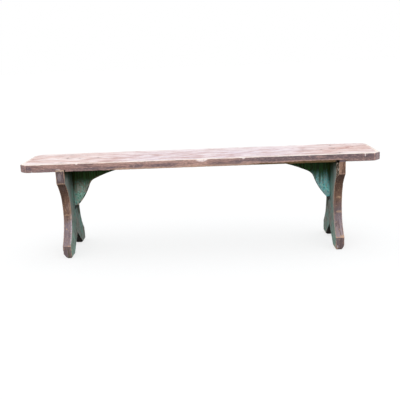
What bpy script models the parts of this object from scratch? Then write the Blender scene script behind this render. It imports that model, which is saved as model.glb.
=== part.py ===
"""Farmhouse bench: a thick plank seat housed over two sawn board legs, each stayed by an ogee bracket.

Metres, +Z up. The origin is on the floor under the middle of the seat, +X runs along the seat to its
right-hand end and +Y runs to the back. Every board is one object, and every nail is one object.
"""

import math

import bmesh
import bpy
from mathutils import Vector

# Driving dimensions of the seat plank
BENCH_HEIGHT = 0.446
SEAT_LENGTH = 1.625
SEAT_DEPTH = 0.310
SEAT_THICKNESS = 0.0345
SEAT_CORNER_CLIP = 0.031
SEAT_ARRIS = 0.003

# Driving dimensions of the board legs, with heights measured from the floor
LEG_THICKNESS = 0.040
LEG_EDGE_INSET = 0.001
LEFT_OVERHANG = 0.165
RIGHT_OVERHANG = 0.1575
HOUSING_DEPTH = 0.008
SHOULDER_DROP = 0.0555
SCOOP_DEPTH = 0.067
FOOT_HEIGHT = 0.060
FOOT_CLIP = 0.006
NOTCH_WIDTH = 0.193
NOTCH_HEIGHT = 0.083
LEG_ARRIS = 0.002

# The chamfer hewn on the inner front arris of the right-hand leg, above its scoop
CHAMFER_ACROSS = 0.012
CHAMFER_BACK = 0.021

# Driving dimensions of the brackets: reach from the leg's inner face, drop below the seat
BRACKET_THICKNESS = 0.029
BRACKET_REACH = 0.300
BRACKET_DROP = 0.191
BRACKET_NOSE = 0.018
BRACKET_TIP = 0.010
BELLY_REACH = 0.075
BELLY_DROP = 0.100
BELLY_SAGITTA = 0.0055
KNEE_REACH = 0.104
KNEE_DROP = 0.066
KNEE_SAGITTA = 0.0042
SWEEP_SAGITTA = 0.0088
BRACKET_ARRIS = 0.0015

# Driving dimensions of the forged nails
NAIL_LENGTH = 0.065
NAIL_SHANK = 0.0046
NAIL_POINT = 0.0014
NAIL_HEAD = 0.0090
NAIL_HEAD_RIM = 0.0010
NAIL_HEAD_CROWN = 0.0014
NAIL_HEAD_FLAT = 0.0030
NAIL_SET = 0.0005
LEG_NAIL_EDGE = 0.042
LEG_NAIL_STAGGER = 0.016
BRACKET_TOP_NAIL_NEAR = 0.042
BRACKET_TOP_NAIL_FAR = 0.130
BRACKET_SIDE_NAIL_UPPER = 0.062
BRACKET_SIDE_NAIL_LOWER = 0.142

# The gap kept where two pieces meet, how far cutters run past a face, and the facets of round stretches
CLEARANCE = 0.0003
CUT_PAST = 0.010
SCOOP_STEPS = 24
BRACKET_STEPS = 10
ARRIS_SEGMENTS = 2
ARRIS_ANGLE = math.radians(38)

# Places that follow from the driving dimensions
SEAT_UNDERSIDE = BENCH_HEIGHT - SEAT_THICKNESS
SEAT_HALF_LENGTH = SEAT_LENGTH / 2
LEG_HALF_WIDTH = SEAT_DEPTH / 2 - LEG_EDGE_INSET
LEG_TOP = SEAT_UNDERSIDE + HOUSING_DEPTH - CLEARANCE
LEFT, RIGHT = -1, 1
SIDE_NAMES = {LEFT: "left", RIGHT: "right"}
LEG_CENTRE = {
    LEFT: -SEAT_HALF_LENGTH + LEFT_OVERHANG + LEG_THICKNESS / 2,
    RIGHT: SEAT_HALF_LENGTH - RIGHT_OVERHANG - LEG_THICKNESS / 2,
}


def clear_scene():
    for obj in list(bpy.data.objects):
        bpy.data.objects.remove(obj, do_unlink=True)


def finish_material(name, colour, roughness, metallic=0.0):
    material = bpy.data.materials.new(name)
    material.use_nodes = True
    shader = material.node_tree.nodes["Principled BSDF"]
    shader.inputs["Base Color"].default_value = (*colour, 1.0)
    shader.inputs["Roughness"].default_value = roughness
    shader.inputs["Metallic"].default_value = metallic
    material.diffuse_color = (*colour, 1.0)
    return material


def arc(start, end, sagitta, steps):
    """The points of a circular arc from start up to, not including, end.

    A positive sagitta bows the arc to the left of the straight line from start to end.
    """
    start, end = Vector(start), Vector(end)
    chord = end - start
    left = Vector((-chord.y, chord.x)).normalized()
    quarter = math.atan2(2 * sagitta, chord.length)
    points = []
    for step in range(steps):
        turn = quarter * (1 - 2 * step / steps)
        along = 0.5 - 0.5 * math.sin(2 * turn) / math.sin(2 * quarter)
        rise = sagitta * (math.cos(2 * turn) - math.cos(2 * quarter)) / (1 - math.cos(2 * quarter))
        points.append(start + chord * along + left * rise)
    return points


def board_mesh(name, outline, thickness):
    """An outline in local X and Z, given its thickness along local Y about the middle plane."""
    shape = bmesh.new()
    front = [shape.verts.new((x, -thickness / 2, z)) for x, z in outline]
    face = shape.faces.new(front)
    grown = bmesh.ops.extrude_face_region(shape, geom=[face])
    moved = [item for item in grown["geom"] if isinstance(item, bmesh.types.BMVert)]
    bmesh.ops.translate(shape, verts=moved, vec=(0, thickness, 0))
    bmesh.ops.recalc_face_normals(shape, faces=shape.faces)
    return to_mesh(name, shape)


def square_loft_mesh(name, sections):
    """A closed solid through square sections, each a half width at a height, from the bottom up."""
    shape = bmesh.new()
    corners = ((-1, -1), (1, -1), (1, 1), (-1, 1))
    rings = []
    for half, height in sections:
        rings.append([shape.verts.new((half * x, half * y, height)) for x, y in corners])
    shape.faces.new(rings[0])
    shape.faces.new(rings[-1])
    for lower, upper in zip(rings, rings[1:]):
        for i in range(len(corners)):
            j = (i + 1) % len(corners)
            shape.faces.new((lower[i], lower[j], upper[j], upper[i]))
    bmesh.ops.recalc_face_normals(shape, faces=shape.faces)
    return to_mesh(name, shape)


def to_mesh(name, shape):
    mesh = bpy.data.meshes.new(name)
    shape.to_mesh(mesh)
    shape.free()
    return mesh


def place(name, mesh, parent, location, rotation=(0, 0, 0)):
    obj = bpy.data.objects.new(name, mesh)
    bpy.context.scene.collection.objects.link(obj)
    obj.parent = parent
    obj.location = location
    obj.rotation_euler = rotation
    return obj


def add_piece(name, mesh, parent, location, rotation, material, arris=0.0):
    """A visible piece with its own mesh, its own finish and, if it has any, its softened arrises."""
    piece = place(name, mesh.copy(), parent, location, rotation)
    piece.data.name = name
    piece.data.materials.append(material)
    if arris:
        bevel = piece.modifiers.new("softened arrises", "BEVEL")
        bevel.width = arris
        bevel.segments = ARRIS_SEGMENTS
        bevel.limit_method = "ANGLE"
        bevel.angle_limit = ARRIS_ANGLE
    return piece


def add_cutter(name, mesh, parent, location, rotation=(0, 0, 0)):
    cutter = place(name, mesh, parent, location, rotation)
    cutter.hide_render = True
    cutter.display_type = "WIRE"
    return cutter


def cut(piece, cutter):
    difference = piece.modifiers.new(cutter.name, "BOOLEAN")
    difference.operation = "DIFFERENCE"
    difference.solver = "EXACT"
    difference.object = cutter


def seat_outline():
    """The plan of the plank: a rectangle with its four corners clipped."""
    x, y, clip = SEAT_HALF_LENGTH, SEAT_DEPTH / 2, SEAT_CORNER_CLIP
    return [
        (-x + clip, -y),
        (x - clip, -y),
        (x, -y + clip),
        (x, y - clip),
        (x - clip, y),
        (-x + clip, y),
        (-x, y - clip),
        (-x, -y + clip),
    ]


def leg_outline():
    """The side profile of a leg: square top, round scoop, foot block, and a notch between two feet."""
    w = LEG_HALF_WIDTH
    shoulder = SEAT_UNDERSIDE - SHOULDER_DROP
    right = [(NOTCH_WIDTH / 2, 0), (w - FOOT_CLIP, 0), (w, FOOT_CLIP)]
    right += arc((w, FOOT_HEIGHT), (w, shoulder), SCOOP_DEPTH, SCOOP_STEPS)
    right += [(w, shoulder), (w, LEG_TOP)]
    left = [(-y, z) for y, z in reversed(right)]
    return right + left + [(0, NOTCH_HEIGHT)]


def bracket_outline():
    """Reach along +X from the leg and drop along -Z from the seat, with an ogee on the free edge."""
    nose = (BRACKET_NOSE, -BRACKET_DROP)
    belly = (BELLY_REACH, -BELLY_DROP)
    knee = (KNEE_REACH, -KNEE_DROP)
    tip = (BRACKET_REACH, -BRACKET_TIP)
    points = [(CLEARANCE, -CLEARANCE), (CLEARANCE, -BRACKET_DROP)]
    points += arc(nose, belly, -BELLY_SAGITTA, BRACKET_STEPS)
    points += arc(belly, knee, KNEE_SAGITTA, BRACKET_STEPS)
    points += arc(knee, tip, SWEEP_SAGITTA, BRACKET_STEPS)
    return points + [tip, (BRACKET_REACH, -CLEARANCE)]


def nail_sections(gap):
    """A tapered square shank under a faceted head, grown all round by gap. Height 0 is under the head."""
    return [
        (NAIL_POINT / 2 + gap, -NAIL_LENGTH - gap),
        (NAIL_SHANK / 2 + gap, -gap),
        (NAIL_HEAD / 2 + gap, -gap),
        (NAIL_HEAD / 2 + gap, NAIL_HEAD_RIM),
    ]


def nail_mesh():
    crown = (NAIL_HEAD_FLAT / 2, NAIL_HEAD_RIM + NAIL_HEAD_CROWN)
    return square_loft_mesh("nail", nail_sections(0) + [crown])


def nail_pocket_mesh():
    """The hole that a nail makes in the wood, open above its head."""
    half, _ = nail_sections(CLEARANCE)[-1]
    return square_loft_mesh("nail pocket", nail_sections(CLEARANCE) + [(half, CUT_PAST)])


def chamfer_outline():
    """A triangle in plan at the corner between a leg's inner face and its front edge."""
    slope_x = CHAMFER_ACROSS / CHAMFER_BACK
    slope_y = CHAMFER_BACK / CHAMFER_ACROSS
    past = CLEARANCE
    return [
        (-past, -past),
        (CHAMFER_ACROSS + past * slope_x, -past),
        (-past, CHAMFER_BACK + past * slope_y),
    ]


def leg_inner_face(side):
    return LEG_CENTRE[side] - side * LEG_THICKNESS / 2


def leg_outer_face(side):
    return LEG_CENTRE[side] + side * LEG_THICKNESS / 2


def build_seat(bench):
    colour = finish_material("worn washed plank", (0.42, 0.29, 0.21), 0.75)
    mesh = board_mesh("seat", seat_outline(), SEAT_THICKNESS)
    middle = (0, 0, BENCH_HEIGHT - SEAT_THICKNESS / 2)
    lying = (-math.pi / 2, 0, 0)
    seat = add_piece("seat_plank", mesh, bench, middle, lying, colour, SEAT_ARRIS)
    width = LEG_THICKNESS + 2 * CLEARANCE
    length = SEAT_DEPTH / 2 + CUT_PAST
    trench = [
        (-length, HOUSING_DEPTH),
        (-length, -CUT_PAST),
        (length, -CUT_PAST),
        (length, HOUSING_DEPTH),
    ]
    trench_mesh = board_mesh("housing", trench, width)
    for side, word in SIDE_NAMES.items():
        at = (LEG_CENTRE[side], 0, SEAT_UNDERSIDE)
        cut(seat, add_cutter(f"{word} housing", trench_mesh, bench, at, (0, 0, math.pi / 2)))
    return seat


def build_legs(bench):
    mesh = board_mesh("leg", leg_outline(), LEG_THICKNESS)
    legs = {}
    for side, word in SIDE_NAMES.items():
        colour = finish_material(f"{word} leg brown paint", (0.13, 0.085, 0.055), 0.7)
        at = (LEG_CENTRE[side], 0, 0)
        turned = (0, 0, math.pi / 2)
        legs[side] = add_piece(f"{word}_leg", mesh, bench, at, turned, colour, LEG_ARRIS)
    chamfer_height = SHOULDER_DROP + SCOOP_DEPTH
    chamfer_mesh = board_mesh("chamfer", chamfer_outline(), chamfer_height)
    corner = (leg_inner_face(RIGHT), -LEG_HALF_WIDTH, SEAT_UNDERSIDE - chamfer_height / 2)
    cut(legs[RIGHT], add_cutter("chamfer cutter", chamfer_mesh, bench, corner, (-math.pi / 2, 0, 0)))
    return legs


def build_brackets(bench):
    mesh = board_mesh("bracket", bracket_outline(), BRACKET_THICKNESS)
    brackets = {}
    for side, word in SIDE_NAMES.items():
        colour = finish_material(f"{word} bracket green paint", (0.08, 0.20, 0.16), 0.65)
        at = (leg_inner_face(side), 0, SEAT_UNDERSIDE)
        turned = (0, 0, 0) if side == LEFT else (0, 0, math.pi)
        name = f"{word}_bracket"
        brackets[side] = add_piece(name, mesh, bench, at, turned, colour, BRACKET_ARRIS)
    return brackets


def drive_nail(name, meshes, bench, surface, outward, iron, pieces):
    """A nail whose head lies just below a surface, driven against the outward direction through pieces."""
    sunk = NAIL_HEAD_RIM + NAIL_HEAD_CROWN + NAIL_SET
    outward = Vector(outward)
    at = Vector(surface) - outward * sunk
    rotation = Vector((0, 0, 1)).rotation_difference(outward).to_euler()
    nail, pocket = meshes
    add_piece(name, nail, bench, at, rotation, iron)
    cutter = add_cutter(f"{name} pocket", pocket, bench, at, rotation)
    for piece in pieces:
        cut(piece, cutter)


def build_nails(bench, seat, legs, brackets):
    iron = finish_material("forged iron", (0.055, 0.045, 0.04), 0.6, 0.8)
    meshes = nail_mesh(), nail_pocket_mesh()
    up = (0, 0, 1)
    outer_row = LEG_HALF_WIDTH - LEG_NAIL_EDGE
    rows = {"front": -outer_row, "middle": LEG_NAIL_STAGGER, "back": outer_row}
    top_nails = {"near": BRACKET_TOP_NAIL_NEAR, "far": BRACKET_TOP_NAIL_FAR}
    side_nails = {"upper": BRACKET_SIDE_NAIL_UPPER, "lower": BRACKET_SIDE_NAIL_LOWER}
    for side, word in SIDE_NAMES.items():
        leg, bracket = legs[side], brackets[side]
        for row, y in rows.items():
            at = (LEG_CENTRE[side], y, BENCH_HEIGHT)
            drive_nail(f"{word}_leg_nail_{row}", meshes, bench, at, up, iron, (seat, leg))
        for row, reach in top_nails.items():
            at = (leg_inner_face(side) - side * reach, 0, BENCH_HEIGHT)
            drive_nail(f"{word}_bracket_top_nail_{row}", meshes, bench, at, up, iron, (seat, bracket))
        for row, drop in side_nails.items():
            at = (leg_outer_face(side), 0, SEAT_UNDERSIDE - drop)
            out = (side, 0, 0)
            drive_nail(f"{word}_bracket_side_nail_{row}", meshes, bench, at, out, iron, (leg, bracket))


def main():
    clear_scene()
    bench = place("bench", None, None, (0, 0, 0))
    seat = build_seat(bench)
    legs = build_legs(bench)
    brackets = build_brackets(bench)
    build_nails(bench, seat, legs, brackets)


main()
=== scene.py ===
"""Looks of the farmhouse bench: worn boards over the CAD pieces, old paint, iron nails, a pale stage."""

import itertools
import math

import bmesh
import bpy
import numpy as np
from mathutils import Matrix, Vector


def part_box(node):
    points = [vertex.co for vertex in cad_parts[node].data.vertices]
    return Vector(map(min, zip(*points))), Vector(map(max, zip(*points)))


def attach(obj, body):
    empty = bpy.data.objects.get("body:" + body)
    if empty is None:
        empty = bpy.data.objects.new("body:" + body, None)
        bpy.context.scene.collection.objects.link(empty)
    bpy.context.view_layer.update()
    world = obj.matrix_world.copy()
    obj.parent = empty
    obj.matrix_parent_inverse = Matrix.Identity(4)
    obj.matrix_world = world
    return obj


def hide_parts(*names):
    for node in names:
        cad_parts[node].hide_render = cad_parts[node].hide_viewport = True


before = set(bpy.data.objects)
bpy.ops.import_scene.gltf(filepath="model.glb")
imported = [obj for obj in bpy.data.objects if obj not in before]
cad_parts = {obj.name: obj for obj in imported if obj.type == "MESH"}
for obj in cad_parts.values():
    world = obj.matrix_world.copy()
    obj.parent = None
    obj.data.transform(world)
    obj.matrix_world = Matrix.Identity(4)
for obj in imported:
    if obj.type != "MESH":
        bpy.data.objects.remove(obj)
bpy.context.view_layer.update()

# Sizes that the CAD gives the boards, in metres
SHOULDER_DROP = 0.0555
SCOOP_DEPTH = 0.067
FOOT_HEIGHT = 0.060
NOTCH_WIDTH = 0.193
NOTCH_HEIGHT = 0.083
SEAT_CORNER_CLIP = 0.031
HOUSING_DEPTH = 0.008
CHAMFER_ACROSS = 0.012
CHAMFER_BACK = 0.021
BRACKET_NOSE = 0.018
BRACKET_TIP = 0.010
BELLY_REACH, BELLY_DROP, BELLY_SAGITTA = 0.075, 0.100, 0.0055
KNEE_REACH, KNEE_DROP, KNEE_SAGITTA = 0.104, 0.066, 0.0042
SWEEP_SAGITTA = 0.0088
CLEARANCE = 0.0003

# Sizes that the CAD gives the nails
NAIL_LENGTH = 0.065
NAIL_SHANK = 0.0046
NAIL_POINT = 0.0014
NAIL_HEAD = 0.0090
NAIL_HEAD_HEIGHT = 0.0024

# How far a cutter goes past the wood, and the corners of a square
CUT_PAST = 0.010
SQUARE = ((-1, -1), (1, -1), (1, 1), (-1, 1))

# Places read from the frame
BODY = "root"
SIDES = ("left", "right")
INWARD = {"left": 1, "right": -1}
RIGHT, BACK, UP = Vector((1, 0, 0)), Vector((0, 1, 0)), Vector((0, 0, 1))
SEAT_LOW, SEAT_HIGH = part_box("seat_plank")
LEG_LOW, LEG_HIGH = ({side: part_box(f"{side}_leg")[end] for side in SIDES} for end in (0, 1))
BRACKET_LOW, BRACKET_HIGH = ({side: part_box(f"{side}_bracket")[end] for side in SIDES} for end in (0, 1))
NAILS = sorted(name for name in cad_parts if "_nail_" in name)
UNDERSIDE = SEAT_LOW.z
SEAT_TOP = SEAT_HIGH.z
SEAT_MIDDLE = (SEAT_LOW.z + SEAT_HIGH.z) / 2
SEAT_CLIP = SEAT_HIGH.x - SEAT_CORNER_CLIP
LEG_CENTRE = {side: (LEG_LOW[side].x + LEG_HIGH[side].x) / 2 for side in SIDES}
LEG_HALF_THICKNESS = (LEG_HIGH["left"].x - LEG_LOW["left"].x) / 2
LEG_HALF_WIDTH = LEG_HIGH["left"].y
LEG_TOP = LEG_HIGH["left"].z
SHOULDER = UNDERSIDE - SHOULDER_DROP
CHAMFER_FOOT = SHOULDER - SCOOP_DEPTH
INNER_FACE = {side: LEG_CENTRE[side] + INWARD[side] * LEG_HALF_THICKNESS for side in SIDES}
BRACKET_REACH = BRACKET_HIGH["left"].x - INNER_FACE["left"]
BRACKET_DROP = UNDERSIDE - BRACKET_LOW["left"].z

# Wear: how far planed faces wander inwards, in waves of (share, size, seed), and how soft worn folds are
WAVE = 0.0004
FACE_WAVES = ((0.7, 0.12, 0), (0.3, 0.03, 7))
SOFT_FOLD = 0.0016
SOFT_CLIP = 0.0024
SHARP_ANGLE = math.radians(38)

# Paint: where two of them meet at an arris, how far the seat's edge laps over, the size of iron stains
PAINT_MEETING = 0.0012
SEAT_EDGE_LAP = 0.003
STAIN_REACH = (0.016, 0.008)

# Worn arrises: waves of their radius as (share, length, seed), nicks, and the least radius
ARRIS_WAVES = ((0.45, 0.06, 0), (0.25, 0.014, 500))
NICK_LENGTH, NICK_DEPTH, NICK_SHARE, NICK_SEED = 0.017, 0.006, 0.30, 900
LEAST_RADIUS = 0.0005

# Each board's seed, its radii at four arrises and two ends, and chips as (place along, reach, depth, arris)
SEAT_SEED = 3
LEG_SEED = {"left": 5, "right": 6}
BRACKET_SEED = {"left": 8, "right": 9}
SEAT_RADII = (0.0034, 0.0024, 0.0022, 0.0020), (0.0036, 0.0036)
LEG_RADII = (0.0024, 0.0024, 0.0024, 0.0024), (0.0085, 0.0012)
BRACKET_RADII = (0.0008, 0.0008, 0.0034, 0.0034), (0.0008, 0.0018)
SEAT_CHIPS = (
    (-0.754, 0.008, 0.004, 2),
    (-0.549, 0.009, 0.004, 3),
    (-0.240, 0.007, 0.003, 2),
    (0.0155, 0.034, 0.0085, 3),
    (0.200, 0.008, 0.0045, 3),
    (0.739, 0.006, 0.005, 3),
    (0.330, 0.020, 0.003, 0),
    (-0.420, 0.030, 0.004, 0),
    (-0.610, 0.010, 0.005, 1),
)
LEG_CHIPS = (
    (0.300, 0.010, 0.003, 3),
    (0.170, 0.016, 0.002, 2),
    (0.030, 0.010, 0.003, 2),
    (0.235, 0.012, 0.002, 0),
)
BRACKET_CHIPS = (
    (0.045, 0.012, 0.003, 2),
    (0.100, 0.015, 0.002, 2),
    (0.190, 0.020, 0.002, 3),
)

# Splits in the seat's top: drying checks as (end, place across, length, half width, depth, lean),
# and short gashes as (start, finish, half width, depth)
DRYING_CHECKS = (
    (-1, 0.047, 0.150, 0.0016, 0.016, 0.006),
    (-1, -0.021, 0.085, 0.0012, 0.012, -0.003),
    (1, -0.058, 0.120, 0.0014, 0.014, 0.004),
    (1, 0.012, 0.060, 0.0010, 0.010, 0.002),
    (1, 0.087, 0.095, 0.0013, 0.012, -0.004),
)
GASHES = (
    ((0.694, 0.048), (0.712, 0.026), 0.0022, 0.0030),
    ((0.722, 0.055), (0.740, 0.047), 0.0018, 0.0022),
    ((0.652, 0.006), (0.672, 0.012), 0.0016, 0.0020),
)

# Hewn arrises: spacing of the cut's sections, its points across, how rough it is, and how far it stays off
HEWN_STEP = 0.005
HEWN_SHARES = np.linspace(-0.25, 1.25, 7)
HEWN_WAVES = ((0.0011, 0.009, 71), (0.0007, 0.0035, 72))
HEWN_SHY = 0.0004

# Worn feet: for a leg's front and back foot, how far wear goes in and up from the outer and the inner arris
FOOT_WEAR = {
    "left": ((-1, (0.021, 0.024), (0.006, 0.006)), (1, (0.011, 0.014), (0.008, 0.009))),
    "right": ((-1, (0.013, 0.022), (0.007, 0.007)), (1, (0.009, 0.012), (0.012, 0.010))),
}
FOOT_INSIDE = 0.058

# The camera that took the view: its place, its turns, and the length of its lens for a 36 mm wide frame
CAMERA_PLACE = Vector((0.0666, -2.76, 0.9012))
CAMERA_YAW, CAMERA_PITCH, CAMERA_ROLL = -0.0259, 0.2413, -0.0411
FRAME_WIDTH = 36.0
LENS = 53.3

# Light: the sky overhead and at the horizon, the soft lamp in front, and how the floor takes and returns it
SKY_ZENITH = 1.30
SKY_HORIZON = 0.72
SKY_COLOUR = (0.97, 0.985, 1.0, 1.0)
WHITE = (1.0, 1.0, 1.0, 1.0)
LAMP_PLACE = Vector((-0.7, -3.6, 1.2))
LAMP_SIZE = 2.6
LAMP_POWER = 26.0
FLOOR_REACH = 40.0
FLOOR_SHADOW = 0.28
FLOOR_BOUNCE = 0.16


def cell_values(cells, seed):
    """A fixed number from -1 to 1, without order, for each cell of a lattice."""
    n = cells.astype(np.int64)
    mask = 0xFFFFFFFF
    mixed = (n[..., 0] * 73856093) ^ (n[..., 1] * 19349663) ^ (n[..., 2] * 83492791)
    mixed = (mixed ^ (seed * 668265263)) & mask
    mixed = ((mixed ^ (mixed >> 15)) * 2246822519) & mask
    mixed = ((mixed ^ (mixed >> 13)) * 3266489917) & mask
    return (mixed ^ (mixed >> 16)) / (mask / 2) - 1.0


def wander(points, size, seed):
    """Smooth noise from -1 to 1 whose bumps are about that size in metres."""
    scaled = np.asarray(points, float) / size
    cell = np.floor(scaled)
    inside = scaled - cell
    inside = inside * inside * (3 - 2 * inside)
    total = np.zeros(scaled.shape[:-1])
    for corner in itertools.product((0, 1), repeat=3):
        share = np.where(np.array(corner) == 1, inside, 1 - inside).prod(axis=-1)
        total += share * cell_values(cell + np.array(corner), seed)
    return total


def wander_line(values, size, seed):
    points = np.zeros((len(values), 3))
    points[:, 0] = values
    return wander(points, size, seed)


def soft_max(values, softness):
    """The larger of the values and zero, with the corner between the two rounded."""
    return (values + np.sqrt(values * values + softness * softness)) / 2


def arc(start, end, sagitta, steps=24):
    """Points of a circular arc, ends included. A positive sagitta bows it to the left of start to end."""
    start, end = np.array(start, float), np.array(end, float)
    chord = end - start
    length = np.hypot(*chord)
    left = np.array((-chord[1], chord[0])) / length
    half_turn = 2 * math.atan2(2 * sagitta, length)
    turns = half_turn * (1 - 2 * np.linspace(0, 1, steps + 1))
    along = 0.5 - 0.5 * np.sin(turns) / math.sin(half_turn)
    rise = sagitta * (np.cos(turns) - math.cos(half_turn)) / (1 - math.cos(half_turn))
    return start + np.outer(along, chord) + np.outer(rise, left)


class Board:
    """A board lofted through rounded rectangular sections, with its arrises worn unevenly.

    Its own three coordinates run along the loft, across it and through its thickness. axes gives the world
    axis of each, origin the place where they are zero, and flip the way that along runs. The four arrises
    lie at across and thickness (high, high), (high, low), (low, low) and (low, high), in this order.
    """

    ARRIS_STEPS = 5
    EDGE_STEPS = 8
    END_STEPS = 4
    SIDES = ((0, 1), (1, 0), (0, -1), (-1, 0))

    def __init__(self, name, axes, origin, flip, seed):
        self.name, self.axes, self.seed = name, list(axes), seed
        self.origin = np.array(origin, float)[self.axes]
        self.signs = np.array((flip, 1, 1))

    def shape(self, stations, half, low, high, face_steps):
        self.stations, self.half, self.low, self.high = stations, half, low, high
        self.start, self.end = stations[0], stations[-1]
        self.face_steps = face_steps

    def wear(self, arris, end_round, chips):
        self.arris, self.end_round, self.chips = arris, end_round, chips

    def to_world(self, own):
        world = np.empty_like(own)
        world[..., self.axes] = self.origin + self.signs * own
        return world

    def arris_radius(self, corner, along):
        base = self.arris[corner]
        seed = self.seed * 10 + corner
        waves = (share * wander_line(along, length, seed + step) for share, length, step in ARRIS_WAVES)
        radius = base * sum(waves, 1)
        nicks = wander_line(along, NICK_LENGTH, seed + NICK_SEED)
        radius += NICK_DEPTH * np.clip(nicks - NICK_SHARE, 0, None)
        for place, reach, depth, at_corner in self.chips:
            if at_corner == corner:
                radius += depth * np.clip(1 - ((along - place) / reach) ** 2, 0, 1) ** 1.5
        return np.clip(radius, LEAST_RADIUS, self.half * 0.9)

    def sections(self):
        """Places of the sections along the board, and how far each is drawn in where an end is rounded."""
        quarter = np.linspace(0, math.pi / 2, self.END_STEPS + 1)
        back, drawn = 1 - np.sin(quarter), 1 - np.cos(quarter)
        first, last = self.end_round
        inside = (self.stations > self.start + 1.1 * first) & (self.stations < self.end - 1.1 * last)
        middle = self.stations[inside]
        along = np.concatenate((self.start + first * back[::-1], middle, self.end - last * back))
        return along, np.concatenate((first * drawn[::-1], 0 * middle, last * drawn))

    def build(self):
        along, inset = self.sections()
        low, high, half = self.low(along) + inset, self.high(along) - inset, self.half - inset
        radii = [np.minimum(self.arris_radius(corner, along), half * 0.95)[:, None] for corner in range(4)]
        sharp = ((high, half), (high, -half), (low, -half), (low, half))
        outward = np.array(self.SIDES) + np.roll(self.SIDES, -1, axis=0)
        centres = [np.stack(sharp[k], axis=1) - radii[k] * outward[k] for k in range(4)]
        even = np.linspace(0, 1, self.face_steps + 1)
        face_shares = 0.55 * even + 0.45 * (0.5 - 0.5 * np.cos(math.pi * even))
        edge_shares = np.linspace(0, 1, self.EDGE_STEPS + 1)
        points, pushes = [], []
        for k, side in enumerate(self.SIDES):
            begin, end = (centres[i] + radii[i] * side for i in (k - 1, k))
            for share in edge_shares if k % 2 else face_shares:
                points.append(begin * (1 - share) + end * share)
                pushes.append(side)
            for step in range(1, self.ARRIS_STEPS):
                angle = math.pi / 2 * (1 - k - step / self.ARRIS_STEPS)
                pushes.append((math.cos(angle), math.sin(angle)))
                points.append(centres[k] + radii[k] * pushes[-1])
        own = np.insert(np.stack(points, axis=1), 0, along[:, None], axis=2)
        world = self.to_world(own)
        waves = (share * wander(world, size, self.seed + step) for share, size, step in FACE_WAVES)
        inwards = WAVE * (sum(waves) - 1)
        own[..., 1:] += np.array(pushes) * inwards[..., None]
        return self.to_mesh(self.to_world(own))

    def to_mesh(self, points):
        rows, loop = points.shape[:2]
        here = np.arange(loop)
        after = np.roll(here, -1)
        quads = np.stack((here, after, after + loop, here + loop), axis=1)
        faces = [face for row in range(rows - 1) for face in (quads + row * loop).tolist()]
        faces += self.cap(0, loop) + self.cap((rows - 1) * loop, loop)
        mesh = bpy.data.meshes.new(self.name)
        mesh.from_pydata(points.reshape(-1, 3).tolist(), [], faces)
        shape = bmesh.new()
        shape.from_mesh(mesh)
        bmesh.ops.recalc_face_normals(shape, faces=shape.faces)
        shape.to_mesh(mesh)
        shape.free()
        return mesh

    def cap(self, first, loop):
        """Closes an end with strips from face to face, and one polygon at either edge."""
        ring = [*range(first, first + loop), first]
        near, far = self.face_steps, loop // 2 + self.face_steps
        strips = [[ring[i], ring[i + 1], ring[far - i - 1], ring[far - i]] for i in range(near)]
        return [*strips, ring[near:loop // 2 + 1], ring[far:]]

    def distances(self, world):
        """How far points of the surface lie from the board's sides, its faces and its ends."""
        along, across, thick = (self.signs * (world[:, self.axes] - self.origin)).T
        to_sides = np.minimum(self.high(along) - across, across - self.low(along))
        to_faces = self.half - np.abs(thick)
        to_ends = np.minimum(along - self.start, self.end - along)
        return to_sides, to_faces, to_ends


class Cutter:
    """Closed solids in one mesh, cut out of a board together. They don't touch one another."""

    def __init__(self, name):
        self.name = name
        self.shape = bmesh.new()

    def loft(self, rings):
        loops = [[self.shape.verts.new(point) for point in ring] for ring in rings]
        self.shape.faces.new(loops[0])
        self.shape.faces.new(loops[-1])
        for lower, upper in zip(loops, loops[1:]):
            for i in range(len(lower)):
                j = (i + 1) % len(lower)
                self.shape.faces.new((lower[i], lower[j], upper[j], upper[i]))

    def prism(self, outline, axis, low, high):
        """An outline in the two other axes, in X Y Z order, run from low to high along an axis."""
        rings = []
        for level in (low, high):
            rings.append([(*point[:axis], level, *point[axis:]) for point in outline])
        self.loft(rings)

    def pocket(self, nail):
        """The hole that a nail makes in the wood, open above its head."""
        low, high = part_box(nail)
        outward, first, second = UP, RIGHT, BACK
        if "_side_" in nail:
            side = nail.split("_")[0]
            outward, first, second = -INWARD[side] * RIGHT, BACK, UP
        centre = (low + high) / 2
        apex = max(outward.dot(low), outward.dot(high))
        under_head = centre + outward * (apex - NAIL_HEAD_HEIGHT - outward.dot(centre))
        sections = (
            (NAIL_POINT / 2, -NAIL_LENGTH - CLEARANCE),
            (NAIL_SHANK / 2, -CLEARANCE),
            (NAIL_HEAD / 2, -CLEARANCE),
            (NAIL_HEAD / 2, CUT_PAST),
        )
        rings = []
        for half, height in sections:
            middle, reach = under_head + outward * height, half + CLEARANCE
            rings.append([middle + reach * (first * a + second * b) for a, b in SQUARE])
        self.loft(rings)

    def take_from(self, piece):
        """Cuts the solids out of a piece's mesh for good."""
        bmesh.ops.recalc_face_normals(self.shape, faces=self.shape.faces)
        mesh = bpy.data.meshes.new(self.name)
        self.shape.to_mesh(mesh)
        self.shape.free()
        helper = add_object(self.name, mesh)
        cut = piece.modifiers.new(self.name, "BOOLEAN")
        cut.operation = "DIFFERENCE"
        cut.solver = "EXACT"
        cut.object = helper
        bpy.context.view_layer.update()
        graph = bpy.context.evaluated_depsgraph_get()
        result = bpy.data.meshes.new_from_object(piece.evaluated_get(graph))
        piece.modifiers.clear()
        piece.data = result
        bpy.data.objects.remove(helper, do_unlink=True)


def add_object(name, data):
    obj = bpy.data.objects.new(name, data)
    bpy.context.scene.collection.objects.link(obj)
    return obj


def add_values(mesh, name, domain, values):
    layer = mesh.attributes.new(name, "FLOAT", domain)
    layer.data.foreach_set("value", np.asarray(values, np.float32))


def read_vectors(items, name):
    """Vectors of all the vertices or faces of a mesh."""
    flat = np.zeros(len(items) * 3)
    items.foreach_get(name, flat)
    return flat.reshape(-1, 3)


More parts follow.
